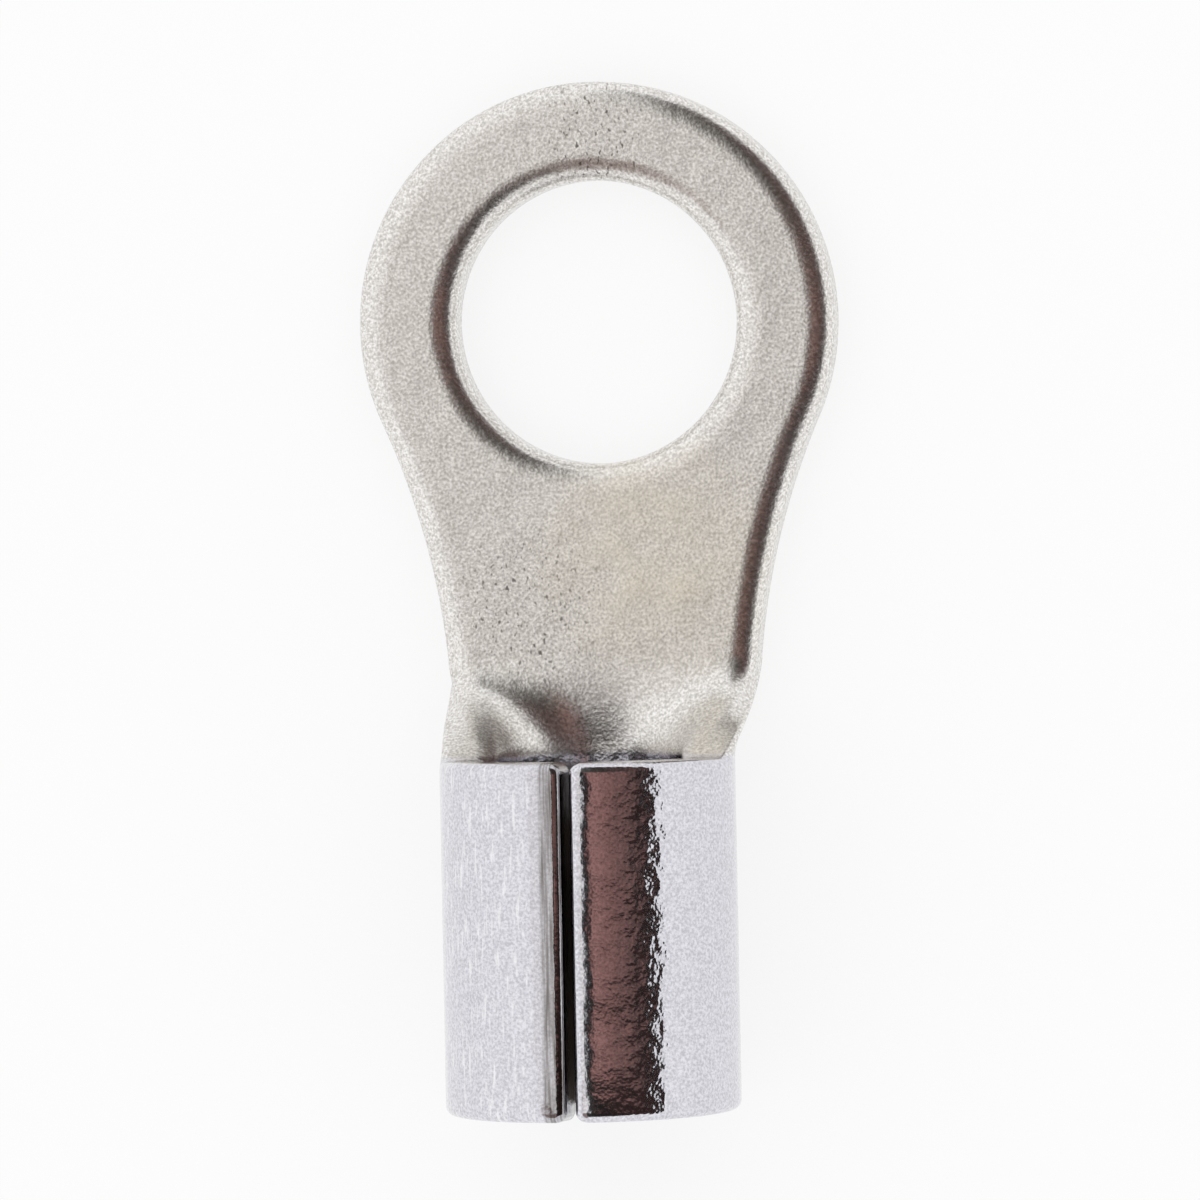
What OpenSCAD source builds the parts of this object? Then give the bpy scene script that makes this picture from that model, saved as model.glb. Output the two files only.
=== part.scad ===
// Ring terminal, crimp type, without insulation.
//
// It is one piece of tin-plated copper sheet. The ring and its neck are stamped flat.
// Behind the neck the sheet curls up into a barrel, and the two edges of the sheet meet
// in a butted seam along the barrel's top. The wire is crimped in the barrel, and a stud
// goes through the ring.
//
// Lengths are in millimetres. The origin is the centre of the stud hole on the underside,
// which is flush with the barrel's lowest line. +Z goes up through the hole, and the wire
// goes in from -Y.

/* [Sheet] */
// Thickness of the sheet
sheet_t = 1; // [0.8:0.05:1.2]
// Rounding of the stamped edges on the upper face
edge_top_r = 0.45; // [0.2:0.05:0.5]
// Rounding of the stamped edges on the underside
edge_under_r = 0.15; // [0.05:0.05:0.25]

/* [Ring] */
// Outer diameter of the ring
ring_d = 9; // [8.4:0.1:10.4]
// Diameter of the stud hole
stud_d = 5.3; // [4.3:0.1:6.5]

/* [Neck] */
// Width of the neck at its narrowest
neck_w = 5.76; // [5.2:0.02:6.2]
// Radius of the neck's hollow flanks
flank_r = 14; // [10:0.5:18]

/* [Shoulder] */
// Length over which the flat sheet curls up into the barrel
shoulder_l = 1.85; // [1.4:0.05:2.4]
// Radius of the blank's corner between the neck and the barrel's wing
corner_r = 0.5; // [0.2:0.05:0.8]
// How far the shoulder's sides swell before they meet the barrel
swell = 0.05; // [0:0.01:0.08]

/* [Barrel] */
// Diameter of the bore that takes the wire
bore_d = 3.5; // [3.2:0.1:4.2]
// Length of the barrel
barrel_l = 6.5; // [5:0.1:9]
// Distance from the stud hole's centre to the barrel's front rim
reach = 8.1; // [7.8:0.05:9.6]
// Rounding of the barrel's outer end edges
rim_r = 0.15; // [0.05:0.01:0.25]
// Rounding of the bore's end edges
mouth_r = 0.1; // [0.05:0.01:0.2]

/* [Seam] */
// Gap that is left between the two butted edges
seam_gap = 0.08; // [0.04:0.02:0.3]
// Rounding of the two lips of the seam
lip_r = 0.18; // [0.08:0.01:0.3]

/* [Hidden] */
$fn = 96;

ring_r = ring_d / 2;
stud_r = stud_d / 2;
bore_r = bore_d / 2;
barrel_r = bore_r + sheet_t;
mid_r = bore_r + sheet_t / 2;
// Centres of the flanks, right and left of the neck and this far behind the stud hole
flank_x = neck_w / 2 + flank_r;
flank_s = sqrt(pow(ring_r + flank_r, 2) - pow(flank_x, 2));
// Where the flat neck ends, behind the stud hole
neck_end = reach - shoulder_l;
// How far the curled sheet reaches into the neck and into the barrel's wall
lap = 0.3;
// How far its skin lies under theirs there
skin = 0.01;
// How far a cutting shape stands clear of what it cuts
over = 1;
// Steps across the sheet, along the curl, and round each corner
across_n = 24;
along_n = 12;
corner_n = 5;
// Angle from the barrel's lowest line to the sheet's edge at the rim
edge_a = 90 + corner_r / mid_r * 180 / PI;
// The rim's own rounding runs out this far under that edge, where the edge is still full
run_out_a = 1.1 * rim_r / mid_r * 180 / PI;

function ease(u) = u * u * (3 - 2 * u);

function mix(a, b, u) = a + (b - a) * u;

// Cubic from a to b as u goes from 0 to 1, with a slope at each end
function cubic(a, slope_a, b, slope_b, u) =
    a + (b - a) * ease(u) + slope_a * u * pow(1 - u, 2) - slope_b * u * u * (1 - u);

// Half the neck's width at a distance s behind the stud hole, and how fast it changes there
function neck_half(s) = flank_x - sqrt(pow(flank_r, 2) - pow(s - flank_s, 2));
function neck_slope(s) = (s - flank_s) / sqrt(pow(flank_r, 2) - pow(s - flank_s, 2));

// Section of the waste at a stamped edge, which takes all that lies less than width left of
// x = 0, and the two rounded corners of the sheet, which lies to the right
module edge_waste(width) {
    translate([-width, -over]) square([width, sheet_t + 2 * over]);
    difference() {
        translate([0, -over]) square([edge_under_r, over + edge_under_r]);
        translate([edge_under_r, edge_under_r]) circle(edge_under_r);
    }
    difference() {
        translate([0, sheet_t - edge_top_r]) square([edge_top_r, edge_top_r + over]);
        translate([edge_top_r, sheet_t - edge_top_r]) circle(edge_top_r);
    }
}

// A round tool that stamps the sheet away inside a radius
module punch(r) {
    translate([0, 0, -over]) cylinder(h = sheet_t + 2 * over, r = r - over / 2);
    rotate_extrude() translate([r, 0]) edge_waste(over);
}

module disc() {
    rotate_extrude() difference() {
        square([ring_r, sheet_t]);
        translate([ring_r, 0]) mirror([1, 0]) edge_waste(over);
    }
}

// The neck is the wedge between the lines from the hole's centre to the flanks' centres,
// so that its flanks leave the ring smoothly
module neck() {
    half = flank_x * neck_end / flank_s;
    difference() {
        linear_extrude(sheet_t) polygon([[0, 0], [half, -neck_end], [-half, -neck_end]]);
        for (side = [-1, 1]) translate([side * flank_x, -flank_s, 0]) punch(flank_r);
    }
}

module tongue() {
    difference() {
        union() {
            disc();
            neck();
        }
        punch(stud_r);
    }
}

// A point of the sheet, from its distance a along the sheet off the centre line, its height
// h above the underside, and the curvature k of the sheet's middle
function curled(a, h, k) = k == 0 ? [a, h] : let (
    r = 1 / k + sheet_t / 2 - h,
    turn = a * k * 180 / PI
) [r * sin(turn), 1 / k + sheet_t / 2 - r * cos(turn)];

// Points round a corner of the sheet's section, through a quarter turn
function corner(a, h, r, from) = [
    for (i = [0:corner_n]) let (t = from + 90 * i / corner_n) [a + r * cos(t), h + r * sin(t)]
];

// Section of the flat sheet, w to each side and from low to high: the under face from left
// to right, then the upper face back again, with as many points
function flat_section(w, low, high, top_r, under_r) = concat(
    corner(under_r - w, low + under_r, under_r, 180),
    [for (i = [1:across_n - 1]) [mix(-1, 1, i / across_n) * (w - under_r), low]],
    corner(w - under_r, low + under_r, under_r, -90),
    corner(w - top_r, high - top_r, top_r, 0),
    [for (i = [1:across_n - 1]) [mix(1, -1, i / across_n) * (w - top_r), high]],
    corner(top_r - w, high - top_r, top_r, 90)
);

// Half the shoulder's width, where u goes from 0 at the neck to 1 at the barrel
function shoulder_half(u) = cubic(
    neck_half(neck_end) - 2 * skin,
    neck_slope(neck_end) * shoulder_l,
    barrel_r - skin,
    -swell * 27 / 4,
    u
);

// Angle that the sheet has turned through at its edge, where outer_r is the radius of its
// under face, half is how far the edge's rounded corner may reach, and r is its rounding
function edge_turn(half, outer_r, r) = let (first = asin(min(1, half / outer_r)))
    asin(min(1, (half + r * (cos(first) + sin(first) - 1)) / outer_r));

// Section of the curled sheet at a distance s behind the stud hole, where widen is what the
// blank's corner adds to each side
function curl_section(s, widen) = let (
    u = min(max((s - neck_end) / shoulder_l, 0), 1),
    low = skin * ease(u),
    k = ease(u) / mid_r,
    half = s < neck_end ? neck_half(s) - 2 * skin : shoulder_half(u),
    top_r = mix(edge_top_r, mouth_r, u),
    under_r = mix(edge_under_r, rim_r, u),
    w = u == 0 ? half : edge_turn(half, 1 / k + sheet_t / 2 - low, under_r) * PI / 180 / k
) [
    for (p = flat_section(w + widen, low, sheet_t - low, top_r, under_r))
        let (q = curled(p[0], p[1], k)) [q[0], -s, q[1]]
];

// The sheet between the flat neck and the barrel, lapping into both
module shoulder() {
    bend_l = shoulder_l - corner_r;
    sections = concat(
        [curl_section(neck_end - lap, 0)],
        [for (i = [0:along_n]) curl_section(neck_end + bend_l * i / along_n, 0)],
        [for (i = [1:corner_n]) let (t = 90 * i / corner_n)
            curl_section(neck_end + bend_l + (corner_r + skin) * sin(t), corner_r * (1 - cos(t)))],
        [curl_section(reach + lap, corner_r)]
    );
    n = len(sections[0]);
    last = len(sections) - 1;
    points = [for (section = sections) each section];
    sides = [
        for (i = [0:last - 1], j = [0:n - 1]) let (
            a = i * n + j,
            b = i * n + (j + 1) % n
        ) each [[a, a + n, b + n], [a, b + n, b]]
    ];
    front = [for (j = [0:n / 2 - 2]) each [[j, j + 1, n - 2 - j], [j, n - 2 - j, n - 1 - j]]];
    back = [for (face = front) [for (j = [2, 1, 0]) last * n + face[j]]];
    polyhedron(points, concat(front, sides, back), convexity = 6);
}

// Along the barrel's axis: z = 0 is the wire's mouth, and -Y is the top
module on_barrel_axis() {
    translate([0, -reach - barrel_l, barrel_r]) rotate([-90, 0, 0]) children();
}

// Section of the waste at an end of the barrel's wall, which lies above z = 0
module end_waste() {
    difference() {
        translate([barrel_r - rim_r, -over]) square([rim_r + over, over + rim_r]);
        translate([barrel_r - rim_r, rim_r]) circle(rim_r);
    }
    difference() {
        translate([bore_r - over, -over]) square([over + mouth_r, over + mouth_r]);
        translate([bore_r + mouth_r, mouth_r]) circle(mouth_r);
    }
}

// The seam's slot, with a rounded lip on each side
module seam_waste() {
    half = seam_gap / 2 + lip_r;
    translate([0, 0, -over]) linear_extrude(barrel_l + 2 * over) {
        translate([-seam_gap / 2, -barrel_r - over]) square([seam_gap, sheet_t + 2 * over]);
        difference() {
            translate([-half, -barrel_r - over]) square([2 * half, over + lip_r]);
            for (side = [-1, 1]) translate([side * half, lip_r - barrel_r]) circle(lip_r);
        }
    }
}

module barrel() {
    free_a = 180 - edge_a + run_out_a;
    on_barrel_axis() difference() {
        cylinder(h = barrel_l, r = barrel_r);
        translate([0, 0, -over]) cylinder(h = barrel_l + 2 * over, r = bore_r);
        rotate_extrude() end_waste();
        translate([0, 0, barrel_l]) mirror([0, 0, 1])
            rotate(-90 - free_a) rotate_extrude(angle = 2 * free_a) end_waste();
        seam_waste();
    }
}

module ring_terminal() {
    color("lightgray") {
        tongue();
        shoulder();
        barrel();
    }
}

ring_terminal();
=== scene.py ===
"""Ring terminal of tin-plated copper: one blank, stamped flat, its edges rolled over by the
punch, and its two wings curled up into a barrel with a butted seam on top."""

import math

import bmesh
import bpy
from mathutils import Matrix, Vector


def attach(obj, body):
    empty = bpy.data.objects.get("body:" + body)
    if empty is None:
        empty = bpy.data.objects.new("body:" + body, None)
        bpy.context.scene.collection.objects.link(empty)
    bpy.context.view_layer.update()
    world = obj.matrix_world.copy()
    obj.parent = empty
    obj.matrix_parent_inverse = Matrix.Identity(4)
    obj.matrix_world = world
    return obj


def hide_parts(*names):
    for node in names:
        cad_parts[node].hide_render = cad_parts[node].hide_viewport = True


MM = 0.001
# Places that lie this near each other, in millimetres, are taken as one
NEAR = 0.001

# The blank, in millimetres: x across it, y = 0 at the stud hole, the barrel towards -y
SHEET = 1.0
RING_R = 4.5
STUD_R = 2.65
NECK_HALF = 2.88
FLANK_R = 14.0
NECK_END = 6.25
RIM = 8.1
TAIL = 14.6
SWELL = 0.05
CORNER_R = 0.5
MID_R = 2.25
SEAM_GAP = 0.13
SEAM_CORNER_R = 0.21

# How far the blank's rear edge trails at the seam, and over what length it comes to that
TAIL_LEAD = 0.13
TAIL_LEAD_RUN = 1.5

# Roll-over of the stamped edges: its width on the upper face, its depth as a share of that,
# and how far out along the wing's front edge it has narrowed to the bore's rounding
ROLL_W = 0.53
ROLL_FLATTEN = 0.62
ROLL_END_X = 6.0
ROLL_STEPS = 8
UNDER_R = 0.17
MOUTH_R = 0.1

# Shallow hollow that the die presses in front of the barrel's mouth
HOLLOW = 0.12
HOLLOW_START = 6.45
HOLLOW_RUN = 1.7
HOLLOW_FLOOR = 0.3
HOLLOW_SIDE = 1.9
HOLLOW_FADE = 2.0

# Cuts, so that the sheet can curl: columns across each wing, rows along the barrel
COLUMNS = 48
BARREL_ROWS = 8
ROW_STEP = 0.75
# A cut that would pass this near a face's corner leaves the face whole
GRAZE = 0.02

FLANK_X = NECK_HALF + FLANK_R
FLANK_Y = -math.sqrt((RING_R + FLANK_R) ** 2 - FLANK_X ** 2)
BARREL_R = MID_R + SHEET / 2
WING_HALF = math.pi * MID_R - SEAM_GAP / 2
COLUMN_STEP = (WING_HALF - SEAM_CORNER_R) / COLUMNS

# Cards stand this high over the bench, in metres
CARD_HEIGHT = 0.4
# How much of the paper is seen as plain white, the rest as lit paper with a shadow on it
PAPER_WHITE = 0.78

# Camera, in millimetres and degrees
CAMERA_TARGET = (0.095, -5.185, 1.5)
CAMERA_DISTANCE = 260
CAMERA_YAW = 9.18
CAMERA_TILT = 1.18
CAMERA_ROLL = -1.1
CAMERA_LENS = 417.85


def ease(u):
    return u * u * (3 - 2 * u)


def mix(a, b, u):
    """From a to b, eased, as u goes from 0 to 1, and level outside that."""
    u = min(max(u, 0), 1)
    return a + (b - a) * ease(u)


def deselect_all():
    """Leaves edit mode, and leaves nothing selected that the next operator would act on."""
    if bpy.context.object and bpy.context.object.mode != "OBJECT":
        bpy.ops.object.mode_set(mode="OBJECT")
    bpy.ops.object.select_all(action="DESELECT")


def apply_modifier(piece, kind, **settings):
    modifier = piece.modifiers.new(kind, kind)
    for name, value in settings.items():
        setattr(modifier, name, value)
    bpy.ops.object.modifier_apply(modifier=modifier.name)


def arc(x, y, r, start, end, n):
    """Points round an arc, angles in degrees, without its first one."""
    steps = [math.radians(start + (end - start) * i / n) for i in range(1, n + 1)]
    return [(x + r * math.cos(a), y + r * math.sin(a)) for a in steps]


def curl_share(y):
    """How much of the barrel's curl the sheet has at y: none on the neck, all from the rim on."""
    return mix(0, 1, (-y - NECK_END) / (RIM - NECK_END))


def shoulder_target(y):
    """Half the shoulder's width as it stands, from the neck's to the barrel's."""
    run = RIM - NECK_END
    u = (-y - NECK_END) / run
    drop = math.sqrt(FLANK_R ** 2 - (-NECK_END - FLANK_Y) ** 2)
    neck, slope = FLANK_X - drop, (NECK_END + FLANK_Y) / drop * run
    swell = SWELL * 27 / 4
    return neck + (BARREL_R - neck) * ease(u) + slope * u * (1 - u) ** 2 + swell * u * u * (1 - u)


def standing_half(y):
    """Half the blank's width at y that curls up to that width."""
    share, low, high = curl_share(y), 2.0, MID_R * math.pi / 2
    for _ in range(40):
        a = (low + high) / 2
        turn = share * a / MID_R
        rounding = UNDER_R * (math.cos(turn) + math.sin(turn) - 1)
        width = (1 - share) * a + share * BARREL_R * math.sin(a / MID_R) - rounding
        low, high = (a, high) if width < shoulder_target(y) else (low, a)
    return a


def shoulder_half(y):
    """The same, evened out along the edge, which has no kink where it comes to stand upright."""
    near = [min(max(y + 0.03 * i, -RIM), -NECK_END) for i in range(-8, 9)]
    return sum(standing_half(place) for place in near) / len(near)


def outline():
    """The right half of the blank, clockwise from the ring's top and back up round the hole."""
    tangent = math.degrees(math.atan2(FLANK_Y, FLANK_X))
    neck_a = 180 - math.degrees(math.asin((-NECK_END - FLANK_Y) / FLANK_R))
    points = [(0, RING_R)] + arc(0, 0, RING_R, 90, tangent, 84)
    points += arc(FLANK_X, FLANK_Y, FLANK_R, 180 + tangent, neck_a, 28)
    bend = RIM - NECK_END - CORNER_R
    points += [(shoulder_half(y), y) for y in (-NECK_END - bend * i / 12 for i in range(1, 13))]
    for x, y in arc(CORNER_R, -RIM + CORNER_R, CORNER_R, 180, 270, 12):
        points.append((shoulder_half(max(y, -RIM)) + x, y))
    side = WING_HALF - SEAM_CORNER_R
    first = math.ceil(points[-1][0] / COLUMN_STEP + 0.2)
    points += [(i * COLUMN_STEP, -RIM) for i in range(first, COLUMNS + 1)]
    points += arc(side, -RIM - SEAM_CORNER_R, SEAM_CORNER_R, 90, 0, 8)
    points += arc(side, -TAIL + SEAM_CORNER_R, SEAM_CORNER_R, 0, -90, 8)
    points += [(i * COLUMN_STEP, -TAIL) for i in range(COLUMNS - 1, -1, -1)]
    return points + [(0, -STUD_R)] + arc(0, 0, STUD_R, -90, 90, 72)


def pick_faces(piece, wanted):
    """In edit mode, selects the faces whose corners the test accepts."""
    mesh = bmesh.from_edit_mesh(piece.data)
    for face in mesh.faces:
        face.select = wanted([v.co / MM for v in face.verts])
    mesh.select_flush_mode()
    bmesh.update_edit_mesh(piece.data)


def cut(piece, level, axis, place, top=math.inf):
    """Cuts the flat faces at a level, up to y = top, along a plane at place across axis 0 or
    1. A cut lengthwise leaves out a face whose corner it would only graze."""
    def wanted(corners):
        over = [c[axis] - place for c in corners]
        return (
            all(abs(c[2] - level) < NEAR and c[1] < top for c in corners)
            and min(over) < -NEAR and max(over) > NEAR
            and (axis == 1 or all(abs(d) > GRAZE or abs(d) < NEAR for d in over))
        )

    pick_faces(piece, wanted)
    normal = [0, 0, 0]
    normal[axis] = 1
    bpy.ops.mesh.bisect(
        plane_co=[place * MM * n for n in normal], plane_no=normal, threshold=NEAR / 2 * MM
    )


def stamped_blank():
    """The flat blank: its right half is drawn point by point, filled, mirrored and thickened."""
    deselect_all()
    points = outline()
    bpy.ops.mesh.primitive_plane_add(size=MM)
    piece = bpy.context.object
    bpy.ops.object.mode_set(mode="EDIT")
    bpy.ops.mesh.merge(type="CENTER")
    bpy.ops.transform.translate(value=(points[0][0] * MM, points[0][1] * MM, 0))
    for (x0, y0), (x1, y1) in zip(points, points[1:]):
        step = ((x1 - x0) * MM, (y1 - y0) * MM, 0)
        bpy.ops.mesh.extrude_region_move(TRANSFORM_OT_translate={"value": step})
    bpy.ops.mesh.select_all(action="SELECT")
    bpy.ops.mesh.edge_face_add()
    bpy.ops.object.mode_set(mode="OBJECT")
    apply_modifier(piece, "MIRROR", merge_threshold=NEAR * MM)
    bpy.ops.object.mode_set(mode="EDIT")
    bpy.ops.mesh.select_all(action="SELECT")
    bpy.ops.mesh.extrude_region_move(TRANSFORM_OT_translate={"value": (0, 0, SHEET * MM)})
    bpy.ops.mesh.select_all(action="SELECT")
    bpy.ops.mesh.normals_make_consistent(inside=False)
    bpy.ops.object.mode_set(mode="OBJECT")
    return piece


def edge_roll(x, y, top):
    """How wide the blank's edge is rolled over at a point of the outline."""
    if not top:
        return UNDER_R
    return ROLL_W if y > -RIM - NEAR and abs(x) < ROLL_END_X else MOUTH_R


def roll_edges(piece):
    """Rolls the blank's edges over, wide and shallow on the upper face. A bevel keeps its width
    along an edge, so the roll on the wing's front edge is narrowed after it, column by column."""
    mesh = piece.data
    weights = mesh.attributes.new("bevel_weight_edge", "FLOAT", "EDGE")
    for edge in mesh.edges:
        a, b = (mesh.vertices[i].co / MM for i in edge.vertices)
        middle = (a + b) / 2
        on_fold = abs(a.x) < NEAR and abs(b.x) < NEAR
        if abs(a.z - b.z) < NEAR and not on_fold:
            weights.data[edge.index].value = edge_roll(middle.x, middle.y, middle.z > 0.5) / ROLL_W
    apply_modifier(
        piece, "BEVEL", limit_method="WEIGHT", width=ROLL_W * MM, segments=ROLL_STEPS,
        use_clamp_overlap=False, loop_slide=False,
    )
    bpy.ops.object.mode_set(mode="EDIT")
    bpy.ops.mesh.select_mode(type="VERT")
    edit = bmesh.from_edit_mesh(mesh)
    for vert in edit.verts:
        vert.select = SHEET - ROLL_W - 0.01 < vert.co.z / MM < SHEET + 0.01
    edit.select_flush_mode()
    bmesh.update_edit_mesh(mesh)
    bpy.ops.transform.resize(value=(1, 1, ROLL_FLATTEN), center_override=(0, 0, SHEET * MM))
    corner_end = shoulder_half(-RIM) + CORNER_R
    front = [
        v for v in edit.verts if v.co.z / MM > SHEET - ROLL_W
        and -RIM - ROLL_W - 0.01 < v.co.y / MM < -RIM + NEAR
        and corner_end + 0.02 < abs(v.co.x / MM) < ROLL_END_X + 0.01
    ]
    deepest = {}
    for vert in front:
        column = round(vert.co.x / MM / COLUMN_STEP)
        deepest[column] = max(deepest.get(column, 0), -RIM - vert.co.y / MM)
    for vert in front:
        x, y, z = vert.co / MM
        width = mix(ROLL_W, MOUTH_R, (abs(x) - corner_end) / (ROLL_END_X - corner_end))
        narrow = width / deepest[round(x / COLUMN_STEP)]
        vert.co.y = (-RIM + (y + RIM) * narrow) * MM
        vert.co.z = (SHEET + (z - SHEET) * narrow) * MM
    bmesh.update_edit_mesh(mesh)
    bpy.ops.object.mode_set(mode="OBJECT")


def curl_up(piece):
    """Cuts the sheet fine enough to curl, presses the hollow, and bends the sheet round the
    barrel's axis."""
    bpy.ops.object.mode_set(mode="EDIT")
    bpy.ops.mesh.select_mode(type="FACE")
    corners = [v.co / MM for v in bmesh.from_edit_mesh(piece.data).verts]
    start, corner_end = -NECK_END + 0.2, shoulder_half(-RIM) + CORNER_R
    for level, width in ((0, UNDER_R), (SHEET, ROLL_W)):
        rim = -RIM - width
        rows = {
            round(c.y, 4) for c in corners if abs(c.z - level) < NEAR
            and 1 < c.x < corner_end - 0.05 and rim + 0.03 < c.y < start
        }
        rows = sorted(rows, reverse=True) + [
            rim - 0.15 - ROW_STEP * i for i in range(BARREL_ROWS)
        ]
        for y in rows:
            cut(piece, level, 1, y)
        for i in range(1 - COLUMNS, COLUMNS):
            cut(piece, level, 0, i * COLUMN_STEP, rows[0] + NEAR)
    bpy.ops.object.mode_set(mode="OBJECT")
    curl = piece.vertex_groups.new(name="curl")
    for vert in piece.data.vertices:
        x, y, _ = vert.co / MM
        curl.add([vert.index], curl_share(y), "REPLACE")
        if vert.co.z > SHEET / 2 * MM:
            sink = mix(0, HOLLOW, (-y - HOLLOW_START) / HOLLOW_RUN)
            sink *= mix(1, 0, (abs(x) - HOLLOW_FLOOR) / HOLLOW_SIDE)
            vert.co.z -= sink * mix(1, 0, (-y - RIM - HOLLOW_FLOOR) / HOLLOW_FADE) * MM
        lead = mix(0, TAIL_LEAD, (-y - TAIL + TAIL_LEAD_RUN) / TAIL_LEAD_RUN)
        vert.co.y -= lead * mix(0, 1, abs(x) / WING_HALF) * MM
    bpy.ops.object.empty_add(
        location=(0, 0, SHEET / 2 * MM), rotation=(math.pi / 2, 0, 0)
    )
    mandrel = bpy.context.object
    deselect_all()
    bpy.context.view_layer.objects.active = piece
    piece.select_set(True)
    width = max(v.co.x for v in piece.data.vertices) - min(v.co.x for v in piece.data.vertices)
    apply_modifier(
        piece, "SIMPLE_DEFORM", deform_method="BEND", deform_axis="Z", origin=mandrel,
        angle=width / (MID_R * MM), vertex_group="curl",
    )
    bpy.data.objects.remove(mandrel)
    piece.vertex_groups.clear()


def ring_terminal():
    """The whole terminal, which is one piece."""
    piece = stamped_blank()
    roll_edges(piece)
    curl_up(piece)
    bpy.ops.object.shade_smooth_by_angle(angle=math.radians(50))
    apply_modifier(piece, "WEIGHTED_NORMAL", weight=80, keep_sharp=True)
    piece.name = piece.data.name = "tinned_terminal"
    return piece


def linear(code):
    """An sRGB hex colour as the linear RGBA that the nodes take."""
    parts = [int(code[i:i + 2], 16) / 255 for i in (1, 3, 5)]
    return [c / 12.92 if c <= 0.04045 else ((c + 0.055) / 1.055) ** 2.4 for c in parts] + [1]


def add_node(tree, kind, inputs=None, **settings):
    """Adds a node; each input is a value or the output that it is linked from."""
    node = tree.nodes.new("ShaderNode" + kind)
    for name, value in settings.items():
        setattr(node, name, value)
    for socket, value in (inputs or {}).items():
        if isinstance(value, bpy.types.NodeSocket):
            tree.links.new(value, node.inputs[socket])
        else:
            node.inputs[socket].default_value = value
    return node


def new_material(name):
    """A material with an empty node tree and its output."""
    material = bpy.data.materials.new(name)
    material.use_nodes = True
    material.node_tree.nodes.clear()
    return material, material.node_tree, add_node(material.node_tree, "OutputMaterial")


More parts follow.
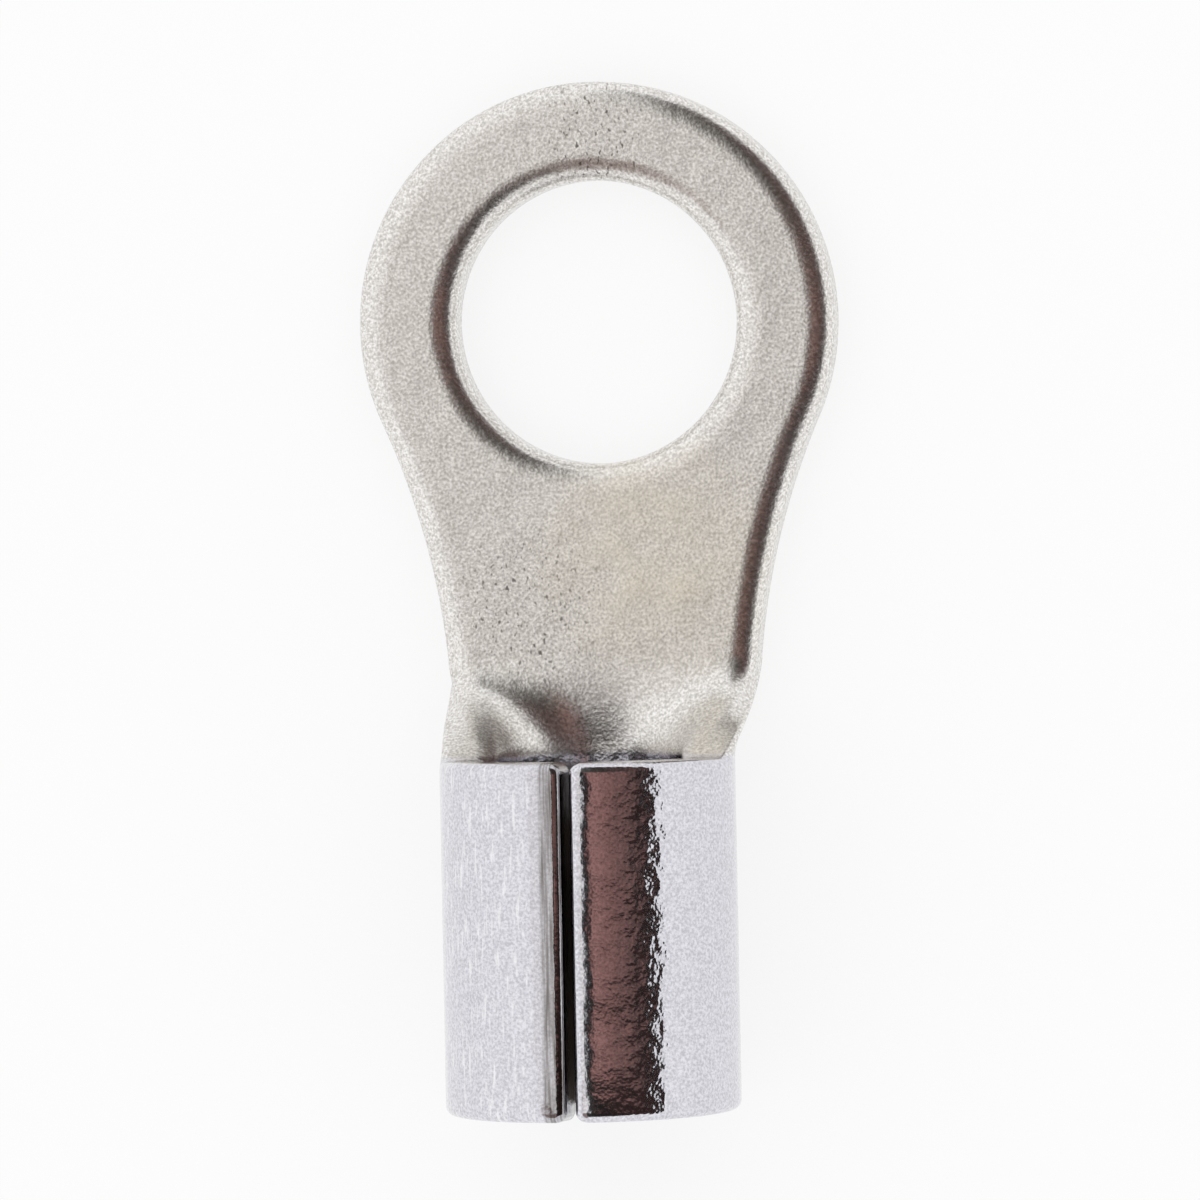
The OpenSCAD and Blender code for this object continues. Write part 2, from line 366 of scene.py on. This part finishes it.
def tin_plate():
    """Bright tin plate on stamped copper: satin and sandy where the sheet is flat, smoother and
    cooler where the rolling die ran over the barrel, dull inside the bore, which is also
    darkened with painted shade."""
    material, tree, output = new_material("tin plate")
    place = add_node(tree, "TexCoord").outputs["Object"]
    mm = add_node(tree, "VectorMath", {0: place, 1: (1000, 1000, 1000)}, operation="MULTIPLY")
    mm = mm.outputs["Vector"]
    apart = add_node(tree, "SeparateXYZ", {0: mm})
    x, y, z = apart.outputs["X"], apart.outputs["Y"], apart.outputs["Z"]

    # The barrel's own lengths: round it from the seam, negative to the left, and out from its axis
    height = add_node(tree, "Math", {0: z, 1: BARREL_R}, operation="SUBTRACT").outputs[0]
    turn = add_node(tree, "Math", {0: x, 1: height}, operation="ARCTAN2").outputs[0]
    across = add_node(tree, "Math", {0: turn, 1: BARREL_R}, operation="MULTIPLY").outputs[0]
    axis = add_node(tree, "CombineXYZ", {"X": x, "Z": height}).outputs[0]
    out = add_node(tree, "VectorMath", {0: axis}, operation="LENGTH").outputs["Value"]
    unrolled = add_node(tree, "CombineXYZ", {"X": across, "Y": y}).outputs[0]

    # 0 on the tongue, 1 on the barrel; 1 in the bore and between the lips of the seam, where the
    # bore mask paints shade into the colour and makes the plate dull
    barrel = add_node(tree, "MapRange", {0: y, 1: -RIM + 0.1, 2: -RIM - 0.02}).outputs[0]
    bore_shade_and_dull = add_node(
        tree, "MapRange", {0: out, 1: BARREL_R - SHEET + 0.12, 2: BARREL_R - SHEET + 0.04}
    ).outputs[0]
    inside = add_node(tree, "MapRange", {0: y, 1: -RIM - 0.1, 2: -RIM - 0.2}).outputs[0]
    bore_shade_and_dull = add_node(tree, "Math", {0: bore_shade_and_dull, 1: inside}, operation="MULTIPLY").outputs[0]

    # The plating's grain, a few thousandths of a millimetre in truth and drawn as coarse as it
    # has to be to show, the waviness of the stamped sheet under it, and its broad unevenness
    grain = add_node(
        tree, "TexNoise", {"Vector": mm, "Scale": 1 / 0.055, "Detail": 3.0, "Roughness": 0.6}
    ).outputs[0]
    waves = add_node(tree, "TexNoise", {"Vector": mm, "Scale": 1 / 0.22, "Detail": 2.0}).outputs[0]
    dents = add_node(tree, "TexNoise", {"Vector": mm, "Scale": 1 / 0.9, "Detail": 1.0}).outputs[0]

    # Ragged stretch of the barrel's right side, where the die let go of it
    ragged = add_node(tree, "MapRange", {0: across, 1: 1.0, 2: 1.5}).outputs[0]
    calm = add_node(tree, "MapRange", {0: across, 1: 2.1, 2: 1.8}).outputs[0]
    ragged = add_node(tree, "Math", {0: ragged, 1: calm}, operation="MULTIPLY").outputs[0]
    ragged = add_node(tree, "Math", {0: ragged, 1: barrel}, operation="MULTIPLY").outputs[0]

    # Heights in millimetres: the die has smoothed the barrel's grain
    grain_high = add_node(tree, "MapRange", {0: barrel, 3: 0.0042, 4: 0.0012}).outputs[0]
    waves_high = add_node(tree, "MapRange", {0: ragged, 3: 0.006, 4: 0.035}).outputs[0]
    high = add_node(tree, "Math", {0: grain, 1: grain_high}, operation="MULTIPLY").outputs[0]
    high = add_node(
        tree, "Math", {0: waves, 1: waves_high, 2: high}, operation="MULTIPLY_ADD"
    ).outputs[0]
    high = add_node(
        tree, "Math", {0: dents, 1: 0.02, 2: high}, operation="MULTIPLY_ADD"
    ).outputs[0]
    bump = add_node(tree, "Bump", {"Height": high, "Strength": 1.0, "Distance": MM}).outputs[0]

    # Bright and dull specks of the plating
    specks = add_node(tree, "MapRange", {0: grain, 1: 0.36, 2: 0.64}).outputs[0]
    satin = add_node(
        tree, "MixRGB", {0: specks, 1: linear("#c8c4bf"), 2: linear("#fbf9f6")}
    ).outputs[0]
    rolled = add_node(
        tree, "MixRGB", {0: specks, 1: linear("#c3c2c8"), 2: linear("#e8e7ee")}
    ).outputs[0]

    # Small pits where the punch picked up grit, 0.1 mm long: at the ring's top and on the neck
    slots = add_node(
        tree, "Mapping", {"Vector": mm, "Rotation": (0, 0, 0.5), "Scale": (1 / 0.07, 1 / 0.13, 1)}
    ).outputs[0]
    pits = add_node(tree, "TexNoise", {"Vector": slots, "Scale": 1.0, "Detail": 1.0}).outputs[0]
    pits = add_node(tree, "MapRange", {0: pits, 1: 0.36, 2: 0.3}).outputs[0]
    for centre, reach in (((0.1, 3.5, SHEET), 1.4), ((-1.3, -5.3, SHEET), 1.9)):
        far = add_node(
            tree, "VectorMath", {0: mm, 1: centre}, operation="DISTANCE"
        ).outputs["Value"]
        near = add_node(tree, "MapRange", {0: far, 1: reach, 2: reach * 0.5}).outputs[0]
        near = add_node(tree, "Math", {0: near, 1: pits}, operation="MULTIPLY").outputs[0]
        satin = add_node(tree, "MixRGB", {0: near, 1: satin, 2: linear("#7d7874")}).outputs[0]

    # Faint yellow bloom on the neck
    far = add_node(
        tree, "VectorMath", {0: mm, 1: (1.1, -4.4, SHEET)}, operation="DISTANCE"
    ).outputs["Value"]
    bloom = add_node(tree, "MapRange", {0: far, 1: 2.6, 2: 0.8, 4: 0.7}).outputs[0]
    bloom = add_node(tree, "Math", {0: bloom, 1: dents}, operation="MULTIPLY").outputs[0]
    satin = add_node(tree, "MixRGB", {0: bloom, 1: satin, 2: linear("#efe6d0")}).outputs[0]

    # Whitish scuffs slanting over the barrel's left side, 0.09 mm wide
    slant = add_node(
        tree, "Mapping",
        {"Vector": unrolled, "Rotation": (0, 0, -0.45), "Scale": (1 / 0.09, 1 / 0.6, 1)},
    ).outputs[0]
    scuffs = add_node(tree, "TexNoise", {"Vector": slant, "Scale": 1.0, "Detail": 2.0}).outputs[0]
    scuffs = add_node(tree, "MapRange", {0: scuffs, 1: 0.55, 2: 0.68, 4: 0.6}).outputs[0]
    left = add_node(tree, "MapRange", {0: across, 1: -0.5, 2: -0.8}).outputs[0]
    scuffs = add_node(tree, "Math", {0: scuffs, 1: left}, operation="MULTIPLY").outputs[0]
    rolled = add_node(tree, "MixRGB", {0: scuffs, 1: rolled, 2: linear("#fbfbfb")}).outputs[0]

    # Drawn marks along the seam's left lip, where the sheet's edge rubbed on the die; the grey
    # of the whole strip beside the seam's gap is also painted shade
    drawn = add_node(
        tree, "Mapping", {"Vector": unrolled, "Scale": (1 / 0.05, 1 / 1.2, 1)}
    ).outputs[0]
    drawn = add_node(tree, "TexNoise", {"Vector": drawn, "Scale": 1.0, "Detail": 2.0}).outputs[0]
    drawn = add_node(tree, "MapRange", {0: drawn, 1: 0.3, 2: 0.65, 3: 1.0, 4: 0.25}).outputs[0]
    lip_rub_and_shade = add_node(tree, "MapRange", {0: across, 1: -0.52, 2: -0.46}).outputs[0]
    lip_rub_and_shade = add_node(tree, "Math", {0: lip_rub_and_shade, 1: drawn}, operation="MULTIPLY").outputs[0]
    edge = add_node(tree, "MapRange", {0: across, 1: 0.02, 2: -0.02}).outputs[0]
    lip_rub_and_shade = add_node(tree, "Math", {0: lip_rub_and_shade, 1: edge}, operation="MULTIPLY").outputs[0]
    # Painted shade and rub marks: the lip's strip takes a darker grey
    rolled = add_node(tree, "MixRGB", {0: lip_rub_and_shade, 1: rolled, 2: linear("#7f7b79")}).outputs[0]

    colour = add_node(tree, "MixRGB", {0: barrel, 1: satin, 2: rolled}).outputs[0]
    # Painted shade: a dark brown-grey in the bore and the inner part of the seam's gap, where
    # little light gets in
    colour = add_node(tree, "MixRGB", {0: bore_shade_and_dull, 1: colour, 2: linear("#5b544e")}).outputs[0]

    # Satin on the tongue, brighter on the barrel, dull in the bore
    rough = add_node(tree, "MapRange", {0: barrel, 3: 0.27, 4: 0.11}).outputs[0]
    rough = add_node(
        tree, "Math", {0: bore_shade_and_dull, 1: 0.4, 2: rough}, operation="MULTIPLY_ADD"
    ).outputs[0]
    shader = add_node(
        tree, "BsdfPrincipled",
        {"Base Color": colour, "Metallic": 1.0, "Roughness": rough, "Normal": bump},
    )
    tree.links.new(shader.outputs[0], output.inputs[0])
    return material


def card(name, low, high, shades):
    """A level sheet of card over the bench, which the metal shows and the camera does not. Its
    shades are given from left to right, each with its x."""
    deselect_all()
    bpy.ops.mesh.primitive_plane_add(size=1, location=(
        (low[0] + high[0]) / 2, (low[1] + high[1]) / 2, CARD_HEIGHT,
    ))
    sheet = bpy.context.object
    sheet.scale = (high[0] - low[0], high[1] - low[1], 1)
    bpy.ops.object.transform_apply(location=True, rotation=True, scale=True)
    sheet.name = name
    sheet.visible_camera = sheet.visible_diffuse = sheet.visible_shadow = False
    material, tree, output = new_material(name)
    place = add_node(tree, "TexCoord").outputs["Object"]
    x = add_node(tree, "SeparateXYZ", {0: place}).outputs["X"]
    along = add_node(tree, "MapRange", {0: x, 1: low[0], 2: high[0]}).outputs[0]
    ramp = add_node(tree, "ValToRGB", {0: along})
    stops = ramp.color_ramp.elements
    for (at, code), stop in zip(shades, [stops[0], stops[1]] + [None] * len(shades)):
        stop = stop or stops.new(1)
        stop.position = (at - low[0]) / (high[0] - low[0])
        stop.color = linear(code)
    glow = add_node(tree, "Emission", {"Color": ramp.outputs[0], "Strength": 1.0})
    tree.links.new(glow.outputs[0], output.inputs[0])
    sheet.data.materials.append(material)


def cards():
    """Warm and dark flags on the right, a pale ceiling and a dull flag at the front. The narrow
    middle flag is the one that the barrel shows."""
    card("middle flag", (0.0, -0.05), (0.915, 0.035), [
        (0.0, "#1c1a1a"), (0.05, "#1c1a1a"), (0.062, "#a87e77"), (0.16, "#936e68"),
        (0.27, "#7a5e59"), (0.38, "#604d49"), (0.46, "#332d2c"), (0.8, "#2c2827"),
        (0.915, "#3a3534"),
    ])
    card("near flag", (0.0, -0.35), (0.8, -0.05), [
        (0.0, "#3a3936"), (0.1, "#22211f"), (0.35, "#3c2c2a"), (0.8, "#221d1c"),
    ])
    card("far flag", (0.0, 0.035), (0.8, 0.9), [
        (0.0, "#6a6863"), (0.12, "#3d3a36"), (0.35, "#5c4744"), (0.8, "#3a302e"),
    ])
    card("ceiling", (-0.3, -0.085), (-0.012, 0.35), [(-0.3, "#f6f4f3"), (-0.012, "#f2efec")])
    card("front flag", (-0.25, -0.5), (0.0, -0.09), [(-0.25, "#a2928d"), (0.0, "#8d7d78")])


def floor():
    """White paper. The camera and the metal see it as the white background, with the
    terminal's shadow faint on it."""
    deselect_all()
    bpy.ops.mesh.primitive_plane_add(size=1.0)
    bench = bpy.context.object
    bench.name = "floor"
    material, tree, output = new_material("white paper")
    paper = add_node(tree, "BsdfDiffuse", {"Color": linear("#f4f4f4")})
    white = add_node(tree, "Emission", {"Color": (1, 1, 1, 1), "Strength": 1.0})
    rays = add_node(tree, "LightPath").outputs
    seen = add_node(
        tree, "Math", {0: rays["Is Camera Ray"], 1: rays["Is Glossy Ray"]}, operation="MAXIMUM"
    ).outputs[0]
    seen = add_node(
        tree, "Math", {0: seen, 1: rays["Is Transmission Ray"]}, operation="MAXIMUM"
    ).outputs[0]
    share = add_node(tree, "Math", {0: seen, 1: PAPER_WHITE}, operation="MULTIPLY").outputs[0]
    mixed = add_node(tree, "MixShader", {0: share, 1: paper.outputs[0], 2: white.outputs[0]})
    tree.links.new(mixed.outputs[0], output.inputs[0])
    bench.data.materials.append(material)


def studio():
    """White all round, which the camera and the metal see, and the light that it gives."""
    world = bpy.data.worlds.new("studio")
    bpy.context.scene.world = world
    world.use_nodes = True
    tree = world.node_tree
    tree.nodes.clear()
    output = add_node(tree, "OutputWorld")
    light = add_node(tree, "Background", {"Color": (1, 1, 1, 1), "Strength": 1.0})
    tree.links.new(light.outputs[0], output.inputs[0])


def camera():
    """Looks down on the upper face from a little to the right, through a long lens."""
    yaw, tilt, roll = (math.radians(a) for a in (CAMERA_YAW, CAMERA_TILT, CAMERA_ROLL))
    back = Vector((math.sin(yaw) * math.cos(tilt), math.sin(tilt), math.cos(yaw) * math.cos(tilt)))
    right = Vector((0, 1, 0)).cross(back).normalized()
    up = back.cross(right)
    right, up = (
        right * math.cos(roll) + up * math.sin(roll),
        up * math.cos(roll) - right * math.sin(roll),
    )
    lens = bpy.data.cameras.new("camera")
    lens.lens = CAMERA_LENS
    lens.clip_start = 0.01
    viewer = bpy.data.objects.new("camera", lens)
    bpy.context.scene.collection.objects.link(viewer)
    place = Matrix((right, up, back)).transposed().to_4x4()
    place.translation = (Vector(CAMERA_TARGET) + back * CAMERA_DISTANCE) * MM
    viewer.matrix_world = place
    bpy.context.scene.camera = viewer


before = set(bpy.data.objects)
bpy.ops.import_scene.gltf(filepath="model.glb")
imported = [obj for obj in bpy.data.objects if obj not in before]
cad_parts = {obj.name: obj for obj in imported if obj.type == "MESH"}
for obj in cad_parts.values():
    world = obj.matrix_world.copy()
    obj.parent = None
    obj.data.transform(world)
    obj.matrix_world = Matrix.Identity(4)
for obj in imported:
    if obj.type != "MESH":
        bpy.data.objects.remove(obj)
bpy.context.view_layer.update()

terminal = ring_terminal()
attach(terminal, "root")
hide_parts("ring_terminal")

terminal.data.materials.append(tin_plate())

floor()
cards()
studio()
camera()
bpy.context.scene.view_settings.view_transform = "Standard"
